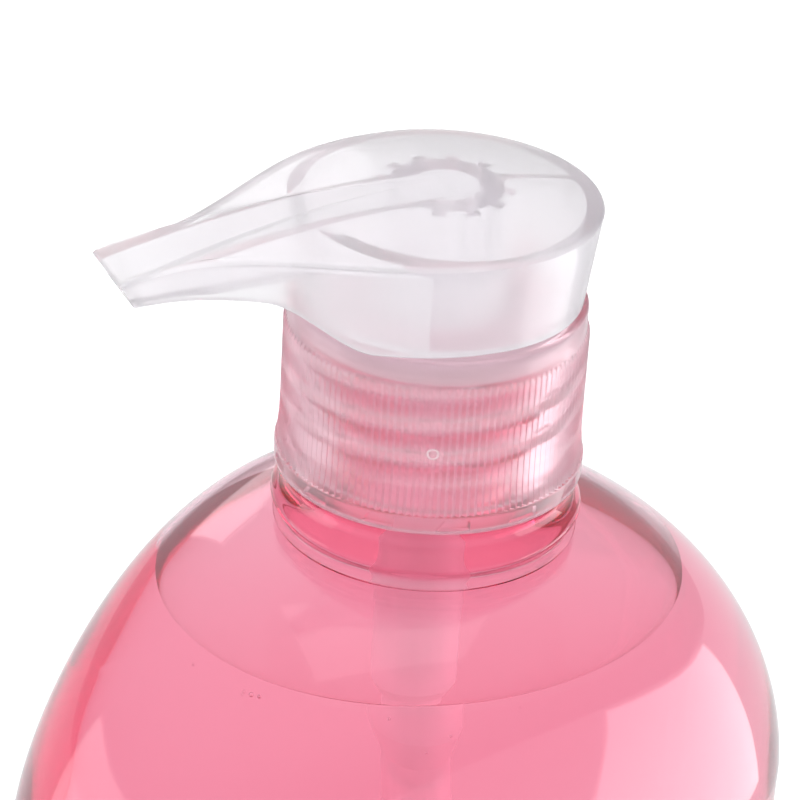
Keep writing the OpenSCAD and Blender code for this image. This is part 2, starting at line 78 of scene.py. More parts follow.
# shader nodes written as expressions
class Wire:
    def __init__(self, finish, socket):
        self.finish = finish
        self.socket = socket

    def maths(self, operation, first, second):
        return self.finish.node("ShaderNodeMath", {"operation": operation}, {0: first, 1: second})

    def __add__(self, other):
        return self.maths("ADD", self, other)

    def __sub__(self, other):
        return self.maths("SUBTRACT", self, other)

    def __rsub__(self, other):
        return self.maths("SUBTRACT", other, self)

    def __mul__(self, other):
        return self.maths("MULTIPLY", self, other)

    def __truediv__(self, other):
        return self.maths("DIVIDE", self, other)


class Finish:
    def __init__(self, owner):
        owner.use_nodes = True
        self.owner = owner
        self.tree = owner.node_tree
        self.tree.nodes.clear()

    def node(self, kind, settings=None, inputs=None, out=0):
        made = self.tree.nodes.new(kind)
        for key, value in (settings or {}).items():
            setattr(made, key, value)
        for key, value in (inputs or {}).items():
            if isinstance(value, Wire):
                self.tree.links.new(value.socket, made.inputs[key])
            else:
                made.inputs[key].default_value = value
        return None if out is None else Wire(self, made.outputs[out])

    def place(self):  # a point of the piece, in millimetres
        point = self.node("ShaderNodeTexCoord", out="Object")
        return self.node("ShaderNodeVectorMath", {"operation": "SCALE"}, {0: point, "Scale": 1 / mm})

    def grain(self, scale, detail, rough=0.5):
        return self.node("ShaderNodeTexNoise", {"noise_dimensions": "3D"},
                         {"Vector": self.place(), "Scale": scale, "Detail": detail, "Roughness": rough})

    def between(self, value, low, high, toLow=0.0, toHigh=1.0):
        return self.node("ShaderNodeMapRange", {"clamp": True, "interpolation_type": "SMOOTHSTEP"},
                         {"Value": value, "From Min": low, "From Max": high,
                          "To Min": toLow, "To Max": toHigh})

    def mixed(self, share, first, second):
        return self.node("ShaderNodeMix", {"data_type": "RGBA"}, {0: share, 6: first, 7: second}, out=2)

    def bump(self, height, depth):
        return self.node("ShaderNodeBump", {}, {
            "Height": height, "Distance": depth * mm, "Strength": 1.0})

    def show(self, surface, volume=None):
        inputs = {"Surface": surface}
        if volume:
            inputs["Volume"] = volume
        self.node("ShaderNodeOutputMaterial", {"is_active_output": True}, inputs, out=None)


def newFinish(name):
    return Finish(bpy.data.materials.new(name))


grainSet = {"fineRough": 0.6, "clearDetail": 2.0, "clearSpan": (0.35, 0.75), "waveDetail": 1.0,
            "solidDetail": 4.0, "mottleDetail": 3.0, "solidSpan": (0.3, 0.7), "solidBend": 1.5,
            "coatRough": 0.06, "paintedShadeRough": 0.45}


def opaque(colour):
    return colour + (1,)


def clearFinish(name, opts):  # clear material that light from the lamps passes
    g = grainSet
    look = newFinish(name)
    values = {"Base Color": opaque(opts["colour"]), "Roughness": opts["rough"][0], "IOR": opts["bend"],
              "Transmission Weight": opts.get("clear", 1.0),
              "Coat Weight": opts.get("gloss", 0.0), "Coat Roughness": g["coatRough"]}
    if "fineScale" in opts:
        fine = look.grain(opts["fineScale"], g["clearDetail"], g["fineRough"])
        values["Roughness"] = look.between(fine, *g["clearSpan"], *opts["rough"])
    if "waveScale" in opts:
        values["Normal"] = look.bump(look.grain(opts["waveScale"], g["waveDetail"]), opts["waveDepth"])
    body = look.node("ShaderNodeBsdfPrincipled", {}, values)
    lampRay = look.node("ShaderNodeLightPath", out="Is Shadow Ray")
    through = look.node("ShaderNodeBsdfTransparent", {}, {"Color": opaque(opts["shade"])})
    if "paintedShade" in opts:  # painted shade: darker bands of a duller milky surface over the thread
        paintedShade = look.node("ShaderNodeBsdfPrincipled", {}, {
            "Base Color": opaque(opts["paintedShadeColour"]), "Roughness": g["paintedShadeRough"]})
        body = look.node("ShaderNodeMixShader", {}, {0: opts["paintedShade"](look), 1: body, 2: paintedShade})
    surface = look.node("ShaderNodeMixShader", {}, {0: lampRay, 1: body, 2: through})
    volume = look.node("ShaderNodeVolumeAbsorption", {}, {
        "Color": opaque(opts["tint"]), "Density": opts["density"]})
    look.show(surface, volume)
    return look.owner


def solidFinish(name, opts):  # material that isn't clear
    g = grainSet
    look = newFinish(name)
    mottle = look.grain(opts["mottleScale"], g["mottleDetail"])
    fine = look.grain(opts["fineScale"], g["solidDetail"], g["fineRough"])
    colour = look.mixed(look.between(mottle, *g["solidSpan"]), opaque(opts["colour"]), opaque(opts["second"]))
    rough = look.between(fine, *g["solidSpan"], *opts["rough"])
    body = look.node("ShaderNodeBsdfPrincipled", {}, {
        "Base Color": colour, "Roughness": rough, "IOR": g["solidBend"], "Metallic": opts.get("metal", 0.0),
        "Normal": look.bump(fine, opts["depth"])})
    look.show(body)
    return look.owner


# where the painted shade bands over the closure's thread lie and how they fade
threadShadeSet = {"low": 207.3, "pitch": 4.233, "crest": 0.08, "foot": 0.30, "share": 0.21,
           "from": 205.5, "fadeIn": 1.5, "to": 219.4, "fadeOut": 0.8}


def threadShadeBands(look):  # painted shade: soft darker bands over the closure's thread
    m = threadShadeSet
    x, y, z = (look.node("ShaderNodeSeparateXYZ", {}, {0: look.place()}, out=axis) for axis in range(3))
    turn = y.maths("ARCTAN2", y, x) / (2 * pi)
    rounds = (z - m["low"]) / m["pitch"] - turn
    off = rounds.maths("PINGPONG", rounds, 0.5)
    band = look.between(off, m["crest"], m["foot"], m["share"], 0.0)
    above = look.between(z, m["from"], m["from"] + m["fadeIn"])
    below = look.between(z, m["to"] - m["fadeOut"], m["to"], 1.0, 0.0)
    return band * above * below


finishes = {
    "clearPet": clearFinish("clearPinkPet", {
        "colour": (1.0, 0.985, 0.99), "bend": 1.25, "gloss": 0.8, "rough": (0.0, 0.03), "fineScale": 0.9,
        "waveScale": 0.05, "waveDepth": 0.35, "shade": (0.995, 0.96, 0.975), "tint": (0.97, 0.28, 0.50),
        "density": 225}),
    "wash": clearFinish("pinkWash", {
        "colour": (1.0, 0.72, 0.80), "bend": 1.15, "rough": (0.0, 0.0), "clear": 0.97,
        "shade": (0.995, 0.92, 0.95), "tint": (0.98, 0.14, 0.38), "density": 9}),
    "headPoly": clearFinish("frostedHeadPoly", {
        "colour": (0.94, 0.935, 0.94), "bend": 1.32, "rough": (0.29, 0.33), "fineScale": 1.6,
        "waveScale": 0.12, "waveDepth": 0.1, "shade": (0.985, 0.98, 0.985), "tint": (0.75, 0.72, 0.77),
        "density": 105, "clear": 0.84, "gloss": 0.5}),
    # the closure's pink colour and tint are painted pink light from the liquid below, the plastic itself being
    # near white; its bands over the thread are painted shade
    "closurePoly": clearFinish("frostedClosurePoly", {
        "colour": (0.93, 0.80, 0.84), "bend": 1.3, "rough": (0.28, 0.31), "fineScale": 1.6,
        "waveScale": 0.15, "waveDepth": 0.1, "shade": (0.985, 0.965, 0.975), "tint": (0.88, 0.55, 0.64),
        "density": 90, "clear": 0.95, "gloss": 0.4, "paintedShade": threadShadeBands, "paintedShadeColour": (0.74, 0.62, 0.65)}),
    "bubble": clearFinish("bubbleFilm", {
        "colour": (1.0, 1.0, 1.0), "bend": 0.86, "rough": (0.0, 0.0), "shade": (1.0, 1.0, 1.0),
        "tint": (1.0, 1.0, 1.0), "density": 0}),
    "naturalPoly": clearFinish("naturalTubePoly", {
        "colour": (0.99, 0.975, 0.98), "bend": 1.25, "rough": (0.29, 0.33), "fineScale": 1.6,
        "waveScale": 0.2, "waveDepth": 0.1, "shade": (0.99, 0.985, 0.99), "tint": (0.75, 0.72, 0.76),
        "density": 8, "clear": 0.3}),
    "whitePoly": clearFinish("milkyMouldedPoly", {
        "colour": (0.985, 0.975, 0.98), "bend": 1.3, "rough": (0.30, 0.38), "fineScale": 3.0,
        "waveScale": 0.4, "waveDepth": 0.02, "shade": (0.985, 0.98, 0.985), "tint": (0.75, 0.72, 0.76),
        "density": 10, "clear": 0.6}),
    "seal": solidFinish("softSealPoly", {
        "colour": (0.90, 0.90, 0.89), "second": (0.86, 0.86, 0.85), "mottleScale": 0.5, "fineScale": 4.0,
        "rough": (0.5, 0.65), "depth": 0.03}),
    "springWire": solidFinish("drawnSpringWire", {
        "colour": (0.50, 0.50, 0.52), "second": (0.42, 0.42, 0.45), "mottleScale": 0.8, "fineScale": 6.0,
        "rough": (0.29, 0.4), "depth": 0.01, "metal": 1.0}),
    "ballSteel": solidFinish("polishedBallSteel", {
        "colour": (0.70, 0.71, 0.73), "second": (0.66, 0.67, 0.70), "mottleScale": 1.0, "fineScale": 8.0,
        "rough": (0.06, 0.12), "depth": 0.003, "metal": 1.0}),
}
print("finishes made")


# meshes from rings of points
def ease(value):
    k = min(1.0, max(0.0, value))
    return k * k * (3 - 2 * k)


def loft(rings, first=None, last=None):
    count = len(rings[0])
    points = [point for ring in rings for point in ring]
    faces = []
    pairs = [(j, j + 1) for j in range(len(rings) - 1)]
    if first is None and last is None:
        pairs.append((len(rings) - 1, 0))
    for low, high in pairs:
        for i in range(count):
            k = (i + 1) % count
            faces.append((low * count + i, low * count + k, high * count + k, high * count + i))
    if first is not None:
        points.append(first)
        faces += [(len(points) - 1, (i + 1) % count, i) for i in range(count)]
    if last is not None:
        points.append(last)
        base = (len(rings) - 1) * count
        faces += [(len(points) - 1, base + i, base + (i + 1) % count) for i in range(count)]
    return points, faces


def ball(middle, radius, rounds=8, count=14):
    x, y, z = middle
    rings = []
    for k in range(1, rounds):
        t = pi * k / rounds
        rings.append([(x + u * sin(t), y + v * sin(t), z - radius * cos(t))
                      for u, v, _ in roundRing(0, radius, count)])
    return loft(rings, (x, y, z - radius), (x, y, z + radius))


def gathered(shapes):
    points, faces = [], []
    for some, sides in shapes:
        faces += [tuple(k + len(points) for k in side) for side in sides]
        points += some
    return points, faces


def rawPiece(name, shape):
    points, faces = shape
    mesh = bpy.data.meshes.new(name)
    mesh.from_pydata([(x * mm, y * mm, z * mm) for x, y, z in points], [], faces)
    work = bmesh.new()
    work.from_mesh(mesh)
    if work.calc_volume(signed=True) < 0:
        bmesh.ops.reverse_faces(work, faces=work.faces)
    work.to_mesh(mesh)
    work.free()
    piece = bpy.data.objects.new(name, mesh)
    bpy.context.scene.collection.objects.link(piece)
    return piece


def finishPiece(piece, body, finish, stands=(), sharp=38):
    piece.data.materials.clear()
    piece.data.materials.append(finishes[finish])
    piece.data.shade_smooth()
    piece.data.set_sharp_from_angle(angle=radians(sharp))
    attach(piece, body)
    if stands:
        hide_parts(*stands)
    return piece


def bent(value, power):
    return (1 if value >= 0 else -1) * abs(value) ** power


def ovalRing(z, a, b, square=2.0, count=192):
    turns = [2 * pi * i / count for i in range(count)]
    return [(a * bent(cos(t), 2 / square), b * bent(sin(t), 2 / square), z) for t in turns]


def roundRing(z, radius, count=192):
    return [(radius * cos(2 * pi * i / count), radius * sin(2 * pi * i / count), z) for i in range(count)]


def threadRise(z, turn, thread):  # how far a thread stands out at a height and a turn of 0 to 1
    rounds = (z - thread["low"]) / thread["pitch"] - turn
    along = round(rounds) + turn
    off = abs(rounds - round(rounds)) * thread["pitch"]
    ends = ease(along / thread["runOut"]) * ease((thread["rounds"] - along) / thread["runOut"])
    return thread["rise"] * ends * ease((thread["foot"] - off) / (thread["foot"] - thread["crest"]))


# bottle
bottleSet = {"long": 105, "deep": 69, "footLong": 8, "footDeep": 4.4, "widest": 151, "shoulder": 192,
             "square": 2.25, "wall": 0.9, "footRound": 8, "footRing": 3.5, "pushUp": 4.5, "footCurve": 1.6,
             "alongSwell": (1.63, 1.6), "acrossSwell": (4.63, 1.73),
             "neckFoot": 18.5, "neck": 17.6, "bead": (1.4, 3.2, 1.5), "lowBead": (1.0, 0.3, 0.55),
             "finish": 14.9, "mouth": 12.9, "rim": 200, "lip": 218.5, "lipRound": 0.5, "mouthRound": 0.3,
             "throatRound": 4, "floorLift": 0.9, "floorOut": 1, "sideEnd": 0.12}
neckThread = {"low": 204.0, "pitch": 4.233, "rounds": 2.5, "rise": 1.1, "crest": 0.42, "foot": 0.98,
              "runOut": 0.08}
footShares = (0.12, 0.3, 0.5, 0.7, 0.88, 1)


def lossBelow(z):
    return ((bottleSet["widest"] - z) / bottleSet["widest"]) ** bottleSet["footCurve"]


def footCorner(z):
    r = bottleSet["footRound"]
    return r - sqrt(r * r - (r - z) ** 2) if z < r else 0


def riseAbove(z):
    return 1 - (bottleSet["shoulder"] - z) / (bottleSet["shoulder"] - bottleSet["widest"])


def swell(z, powers):
    return max(0.0, 1 - riseAbove(z) ** powers[0]) ** (1 / powers[1])


def halfSize(z, full, loss, powers):
    if z > bottleSet["widest"]:
        return bottleSet["neckFoot"] + (full / 2 - bottleSet["neckFoot"]) * swell(z, powers)
    return full / 2 - loss / 2 * lossBelow(z) - footCorner(z)


def halfLong(z):
    return halfSize(z, bottleSet["long"], bottleSet["footLong"], bottleSet["alongSwell"])


def halfDeep(z):
    return halfSize(z, bottleSet["deep"], bottleSet["footDeep"], bottleSet["acrossSwell"])


def squareness(z):
    square = bottleSet["square"]
    return square - (square - 2) * riseAbove(z) if z > bottleSet["widest"] else square


def lean(z, half):  # outward direction of the side, as (height, out)
    step = 0.02
    rise = half(z + step) - half(z - step)
    size = hypot(2 * step, rise)
    return -rise / size, 2 * step / size


def sideRing(z, inward):
    along, across = lean(z, halfLong), lean(z, halfDeep)
    a = halfLong(z) - inward * along[1]
    b = halfDeep(z) - inward * across[1]
    ring = []
    for x, y, _ in ovalRing(0, a, b, squareness(z)):
        share = abs(x / a) ** 2 / (abs(x / a) ** 2 + abs(y / b) ** 2)
        ring.append((x, y, z - inward * (along[0] * share + across[0] * (1 - share))))
    return ring


def neckRadius(z):
    up = z - bottleSet["shoulder"]
    radius = bottleSet["neck"]
    for rise, middle, spread in (bottleSet["bead"], bottleSet["lowBead"]):
        radius += rise * exp(-((up - middle) / spread) ** 2)
    under = ease((z - bottleSet["rim"] + 1.6) / 3)
    return (1 - under) * radius + under * bottleSet["finish"]


def neckRing(z, count=192):
    ring = []
    for i in range(count):
        r = neckRadius(z) + threadRise(z, i / count, neckThread)
        ring.append((r * cos(2 * pi * i / count), r * sin(2 * pi * i / count), z))
    return ring


def footRing(share, lift):
    a = halfLong(0) - bottleSet["footRing"]
    b = halfDeep(0) - bottleSet["footRing"]
    return ovalRing(bottleSet["pushUp"] * (1 - share * share) + lift, a * share, b * share, bottleSet["square"])


def spread(low, high, steps):
    return [low + (high - low) * k / steps for k in range(steps + 1)]


def cosSpread(low, high, steps):
    return [low + (high - low) * (1 - cos(pi * k / steps)) / 2 for k in range(steps + 1)]


footLevels = [bottleSet["footRound"] * (1 - cos(radians(7.5 * k))) for k in range(1, 13)]
sideLevels = spread(bottleSet["footRound"], bottleSet["widest"], 30)[1:]
shoulderLevels = cosSpread(bottleSet["widest"], bottleSet["shoulder"], 72)[1:-1]
bodyLevels = footLevels + sideLevels + shoulderLevels


def insideRings(inward, highest):  # from a height of the side down to the middle of the floor
    rings = [sideRing(z, inward) for z in reversed(bodyLevels) if footLevels[5] < z <= highest]
    out = bottleSet["floorOut"]
    rings.append(ovalRing(inward + bottleSet["floorLift"], halfLong(0) + out, halfDeep(0) + out,
                          bottleSet["square"]))
    return rings + [footRing(k * 0.99, inward) for k in reversed(footShares)]


def bottleShape():
    wall, mouth, lip = bottleSet["wall"], bottleSet["mouth"], bottleSet["lip"]
    finish, shoulder = bottleSet["finish"], bottleSet["shoulder"]
    outer, inner, throat = bottleSet["lipRound"], bottleSet["mouthRound"], bottleSet["throatRound"]
    rings = [footRing(k, 0) for k in footShares]
    rings.append(ovalRing(0, halfLong(0), halfDeep(0), bottleSet["square"]))
    rings += [sideRing(z, 0) for z in bodyLevels]
    rings += [neckRing(z) for z in spread(shoulder, lip - outer, 132)]
    rings += [roundRing(lip - outer + outer * sin(radians(t)), finish - outer + outer * cos(radians(t)))
              for t in (22, 45, 67, 90)]
    rings += [roundRing(lip - inner + inner * cos(radians(t)), mouth + inner - inner * sin(radians(t)))
              for t in (0, 30, 60, 90)]
    width = bottleSet["neckFoot"] - mouth - 1
    rings += [roundRing(shoulder + throat - (throat + wall) * sin(radians(t)),
                        mouth + width * (1 - cos(radians(t)))) for t in range(0, 91, 6)]
    rings += insideRings(wall, shoulder - bottleSet["sideEnd"])
    return loft(rings, (0, 0, bottleSet["pushUp"]), (0, 0, bottleSet["pushUp"] + wall))


finishPiece(rawPiece("clearBottle", bottleShape()), "bottle", "clearPet", ["bottle"], 50)
print("bottle blown")


# body wash, up to its level, with the film that climbs the wall and the pump
washSet = {"level": 183.1, "into": 0.04, "climb": 1.0, "reach": 0.8, "cylinder": 5.4, "taper": (161.5, 157.5),
           "socket": (3.9, 143), "tube": 2.95, "bore": 2.1, "tubeLow": 8.6, "slant": 0.577, "boreTop": 154.5,
           "half": 18, "pumpClimb": 0.7}


def tubeEnd(radius):
    return [(x, y, z + max(0.0, -x * washSet["slant"])) for x, y, z in roundRing(washSet["tubeLow"], radius)]


def surfaceRing(edge, hub, shareAt, climb, off):  # the liquid's surface at a distance off a wall
    ring = []
    for (x, y, _), (u, v, _) in zip(edge, hub):
        k = shareAt(hypot(x - u, y - v))
        ring.append((x + (u - x) * k, y + (v - y) * k, washSet["level"] + climb * exp(-off / washSet["reach"])))
    return ring


def washShape():
    into, level = washSet["into"], washSet["level"]
    inward = bottleSet["wall"] - into
    high = level + washSet["climb"]
    rings = list(reversed(insideRings(inward, high - 0.6)))
    edge = sideRing(high + inward * lean(high, halfLong)[0], inward)
    edge = [(x, y, high) for x, y, _ in edge]
    rings.append(edge)
    hub = roundRing(0, washSet["cylinder"] - into)
    for far in (0.15, 0.35, 0.6, 0.9, 1.3, 1.8, 2.6, 4, 6, 9, 13):
        rings.append(surfaceRing(edge, hub, lambda way: min(0.5, far / way), washSet["climb"], far))
    rings.append(surfaceRing(edge, hub, lambda way: 0.5, washSet["climb"], washSet["half"]))
    for near in (9, 5, 3, 2, 1.3, 0.8, 0.5, 0.25, 0):
        rings.append(surfaceRing(edge, hub, lambda way: max(0.55, 1 - near / way),
                                 washSet["pumpClimb"] * washSet["climb"], near))
    cylinder, (taper, taperLow) = washSet["cylinder"] - into, washSet["taper"]
    socket, socketLow = washSet["socket"][0] - into, washSet["socket"][1]
    tube, bore = washSet["tube"] - into, washSet["bore"] + into
    rings += [roundRing(z, cylinder) for z in spread(level - 0.5, taper, 8)]
    rings += [roundRing(taperLow, socket), roundRing(socketLow - into, socket)]
    rings += [roundRing(socketLow - into, tube)]
    rings += [roundRing(z, tube) for z in spread(socketLow - 10, washSet["tubeLow"] + 6, 6)]
    rings += [tubeEnd(tube), tubeEnd(bore)]
    rings += [roundRing(z, bore) for z in spread(washSet["tubeLow"] + 6, washSet["boreTop"], 6)]
    return loft(rings, (0, 0, bottleSet["pushUp"] + inward), (0, 0, washSet["boreTop"]))


finishPiece(rawPiece("pinkBodyWash", washShape()), "bottle", "wash", ["body_wash"], 60)

# (degrees round, below the level, in from the wall, radius)
bubbleSet = [(203.6, 0.35, 0.50, 0.30), (204.9, 0.25, 0.42, 0.24), (202.3, 0.30, 0.38, 0.20),
             (206.0, 0.20, 0.30, 0.16), (201.2, 0.55, 0.30, 0.14), (232.0, 0.20, 0.35, 0.17),
             (244.5, 2.4, 0.8, 0.15), (240.0, 4.1, 1.0, 0.13), (219.0, 1.3, 0.4, 0.10),
             (188.0, 0.30, 0.35, 0.15), (262.0, 0.25, 0.35, 0.14), (281.0, 3.2, 0.6, 0.11)]


def bubbleShape():
    shapes = []
    for turn, below, inward, radius in bubbleSet:
        z = washSet["level"] - below
        ring = sideRing(z, bottleSet["wall"] + inward)
        aim = radians(turn)
        x, y, _ = min(ring, key=lambda point: abs(remainder(atan2(point[1], point[0]) - aim, 2 * pi)))
        shapes.append(ball((x, y, z), radius))
    return gathered(shapes)


finishPiece(rawPiece("smallBubbles", bubbleShape()), "bottle", "bubble")
print("body wash filled")


# closure
closureSet = {"rim": 200, "rimRadius": 18.75, "ribs": 130, "steps": 6, "ribRadius": 18.25, "ribDepth": 0.34,
              "flareTop": 205.5, "ribLow": 202.3, "bandLow": 219.2, "bandRadius": 17.85, "top": 222.5,
              "topRound": 0.5, "hole": 8.6, "plate": 221.2, "inside": 16.35, "lugRoof": 202.3, "lugs": 13,
              "lugTurn": -133.7, "lugLow": 200.55, "lugHigh": 201.95, "lugDepth": 0.42, "lugShare": 0.43,
              "lugSlant": 0.10, "slantRound": 0.05, "lugEnd": 0.985, "endRound": 0.035, "lugRound": 0.12}
closureThread = {"low": 206.1, "pitch": 4.233, "rounds": 2.75, "rise": -1.1, "crest": 0.42, "foot": 0.98,
                 "runOut": 0.08}


def lugHollow(turn, z):  # 1 inside a hollow between two lugs, which has one slanted and one upright end
    c = closureSet
    place = (turn - c["lugTurn"] / 360) * c["lugs"] % 1
    rise = (z - c["lugLow"]) / (c["lugHigh"] - c["lugLow"])
    start = 1 - c["lugShare"] - c["lugSlant"] * (1 - rise) + c["lugSlant"] / 2
    inside = ease((place - start) / c["slantRound"]) * ease((c["lugEnd"] - place) / c["endRound"])
    return inside * ease(rise / c["lugRound"]) * ease((1 - rise) / c["lugRound"])


def closureRing(radius, z, kind="round"):
    c = closureSet
    count = c["ribs"] * c["steps"]
    ring = []
    for i in range(count):
        turn = i / count
        r = radius
        if kind == "ribs":
            r -= c["ribDepth"] * (0.5 - 0.5 * cos(2 * pi * i / c["steps"]))
        elif kind == "lugs":
            r -= c["lugDepth"] * lugHollow(turn, z)
        elif kind == "thread":
            r += threadRise(z, turn, closureThread)
        ring.append((r * cos(2 * pi * turn), r * sin(2 * pi * turn), z))
    return ring


def closureShape():
    c = closureSet
    foot, rim, low, high, top = c["rim"], c["rimRadius"], c["ribLow"], c["bandLow"], c["top"]
    rings = [closureRing(rim - r, foot + z)
             for r, z in ((1.45, 0.1), (1.3, 0), (0.2, 0), (0.05, 0.08), (0, 0.25))]
    rings += [closureRing(rim, z, "lugs") for z in spread(c["lugLow"], c["lugHigh"], 12)]
    rings += [closureRing(rim, low - 0.12), closureRing(rim - 0.06, low)]
    flare = [(rim - 0.12, low + 0.08), (rim - 0.17, low + 0.5), (rim - 0.3, low + 1.4),
             (c["ribRadius"] + 0.05, c["flareTop"]), (c["ribRadius"], c["flareTop"] + 3),
             (c["ribRadius"], high - 0.5)]
    rings += [closureRing(r, z, "ribs") for r, z in flare]
    rings += [closureRing(c["ribRadius"] - c["ribDepth"] * 0.9, high - 0.1)]
    rings += [closureRing(c["bandRadius"], z) for z in (high + 0.2, high + 1.6, top - 0.55)]
    rings += [closureRing(c["bandRadius"] - c["topRound"] * (1 - cos(radians(t))),
                          top - c["topRound"] + c["topRound"] * sin(radians(t))) for t in (20, 40, 60, 80, 90)]
    rings += [closureRing(c["hole"] + 0.15, top), closureRing(c["hole"], top - 0.15),
              closureRing(c["hole"], c["plate"]), closureRing(c["inside"] - 0.5, c["plate"]),
              closureRing(c["inside"] - 0.15, c["plate"] - 0.15)]
    rings += [closureRing(c["inside"], z, "thread") for z in spread(c["plate"] - 0.5, c["lugRoof"] + 0.5, 50)]
    rings += [closureRing(c["inside"], c["lugRoof"]), closureRing(rim - 1.6, c["lugRoof"] - 0.1),
              closureRing(rim - 1.45, c["lugRoof"] - 0.3)]
    return loft(rings)


gateSet = {"turn": -121.7, "z": 210.6, "out": 18.2, "radius": 0.62, "thick": 0.13, "steps": 28, "sides": 8}


def gateShape():  # the small ring that the mould's gate leaves
    g = gateSet
    turn = radians(g["turn"])
    rings = []
    for i in range(g["steps"]):
        t = 2 * pi * i / g["steps"]
        ring = []
        for k in range(g["sides"]):
            w = 2 * pi * k / g["sides"]
            reach = g["radius"] + g["thick"] * cos(w)
            out, side = g["out"] + g["thick"] * sin(w), reach * cos(t)
            ring.append((out * cos(turn) - side * sin(turn), out * sin(turn) + side * cos(turn),
                         g["z"] + reach * sin(t)))
        rings.append(ring)
    return loft(rings)


finishPiece(rawPiece("ribbedClosure", closureShape()), "closure", "closurePoly", ["closure"],
            42)
finishPiece(rawPiece("gateMark", gateShape()), "closure", "headPoly")
print("closure moulded")


# pump head, with the spout along +X until it is turned into place
headSet = {"radius": 18.7, "lowRadius": 17.2, "side": 12.1, "dome": 2.2, "spout": 41.6, "narrowed": 0.875,
           "tipWide": 9.4, "tipTall": 3.5, "tipDrop": 3.0, "tipSlant": 1.9, "wall": 1.2, "plate": 1.3,
           "duct": 6.2, "ductWall": 0.8, "ductRise": 1.6, "turn": 172.4, "base": 222.9, "spline": 8.1,
           "splineDepth": 1.2, "splines": 12, "splineShare": 0.42, "boss": 6.2, "bossLow": 223.7,
           "splineLow": 228.1, "bossTop": 236.2, "stem": 3.6, "stemTop": 231.1, "chamber": 4,
           "chamberTall": 4.3, "edgeRound": 0.7, "edgeLift": 0.06, "ringWall": 1.9, "ringIn": 0.35,
           "skirtLip": 0.5, "ribWide": 1.2, "ribDeep": 5}
headEdge = headSet["base"] + headSet["side"]


def headHalf(s):
    h = headSet
    share = min(1.0, max(0.0, s) / (h["spout"] * h["narrowed"]))
    return h["tipWide"] / 2 + (h["radius"] - h["tipWide"] / 2) * cos(pi / 2 * share ** 1.15) ** 2


def upperEdge(s):
    h = headSet
    return headEdge - h["tipDrop"] * (max(0.0, s / h["spout"] - 0.29) / 0.71) ** 1.6


def lowerEdge(s):
    h = headSet
    tipFoot = upperEdge(h["spout"]) - h["tipTall"]
    return h["base"] + ease((s - h["lowRadius"] + 2.5) / 11) * (tipFoot - h["base"])


def headOutline():  # points, each with the direction that faces out
    h = headSet
    tip = [(h["spout"], h["tipWide"] / 2 * k, 1, 0) for k in (-0.9, -0.6, -0.3, 0, 0.3, 0.6, 0.9)]
    corner = h["spout"] - 0.25
    left = [(h["spout"] - 0.07, h["tipWide"] / 2 * 0.98, 0.7, 0.7), (corner, h["tipWide"] / 2, 0, 1)]
    for k in range(1, 64):
        s = corner - 0.3 + (0.5 - corner + 0.3) * k / 64
        fall = (headHalf(s + 0.1) - headHalf(s - 0.1)) / 0.2
        size = hypot(fall, 1)
        left.append((s, headHalf(s), -fall / size, 1 / size))
    turns = [radians(90 + 180 * k / 96) for k in range(97)]
    back = [(h["radius"] * cos(t), h["radius"] * sin(t), cos(t), sin(t)) for t in turns]
    right = [(x, -y, nx, -ny) for x, y, nx, ny in reversed(left)]
    return tip + left + back + right


outline = headOutline()
draft = (headSet["radius"] - headSet["lowRadius"]) / headSet["side"]


def movedIn(point, side, tip):
    x, y, nx, ny = point
    if x > headSet["spout"] - 0.3:
        return x - tip, y * (1 - 2 * side / headSet["tipWide"])
    fade = ease((x - headSet["spout"] + 4) / 4)
    return x - side * nx - fade * (tip - side * nx) * fade, y - side * ny


def sideLoop(share, inward, top):
    tipLean = headSet["tipSlant"] / headSet["tipTall"]
    ring = []
    for point in outline:
        edge = upperEdge(point[0])
        high = edge - top
        z = high + (lowerEdge(point[0]) - high) * share
        x, y = movedIn(point, draft * (edge - z) + inward, tipLean * (edge - z) + inward)
        ring.append((x, y, z))
    return ring


def roofLoop(share, lower, inward):
    ring = []
    for point in outline:
        x, y = (share * value for value in movedIn(point, inward, inward))
        ring.append((x, y, upperEdge(x) + headSet["dome"] * (1 - share * share) - lower))
    return ring


def edgeLoop(angle):  # the rounding between the side and the roof
    r = headSet["edgeRound"]
    inward = r * (1 - cos(angle))
    lift = headSet["dome"] * headSet["edgeLift"] * sin(angle)
    ring = []
    for point in outline:
        x, y = movedIn(point, inward, inward)
        ring.append((x, y, upperEdge(point[0]) - r * (1 - sin(angle)) + lift))
    return ring


def headShell():
    h = headSet
    plate, wall, lip = h["plate"], h["wall"], h["skirtLip"]
    rings = [roofLoop(k, plate, wall) for k in (0.05, 0.15, 0.3, 0.45, 0.6, 0.7, 0.8, 0.88, 0.94, 0.975)]
    rings += [sideLoop(k, wall, plate + 0.3) for k in (0, 0.15, 0.35, 0.55, 0.75, 0.9, 0.985)]
    rings += [sideLoop(1, wall - 0.2, lip), sideLoop(1, 0.2, lip)]
    rings += [sideLoop(k, 0, h["edgeRound"]) for k in (0.985, 0.9, 0.75, 0.6, 0.45, 0.3, 0.15, 0)]
    rings += [edgeLoop(radians(t)) for t in range(15, 91, 15)]
    rings += [roofLoop(k, 0, 0) for k in (0.955, 0.93, 0.88, 0.8, 0.7, 0.6, 0.5, 0.4, 0.3, 0.2, 0.12, 0.05)]
    return loft(rings, (0, 0, headEdge + h["dome"] - h["plate"]), (0, 0, headEdge + h["dome"]))


def bar(profile, width):  # a side profile pulled out to a width
    count = len(profile)
    points = [(s, -width / 2, z) for s, z in profile] + [(s, width / 2, z) for s, z in profile]
    faces = [tuple(range(count)), tuple(reversed(range(count, 2 * count)))]
    for i in range(count):
        k = (i + 1) % count
        faces.append((i, i + count, k + count, k))
    return points, faces


def roofHeight(s):
    return upperEdge(s) + headSet["dome"] * (1 - (s / headSet["spout"]) ** 2)


def ductFloor(s):
    h = headSet
    return upperEdge(h["spout"]) - h["tipTall"] + h["ductRise"] * (1 - s / h["spout"])


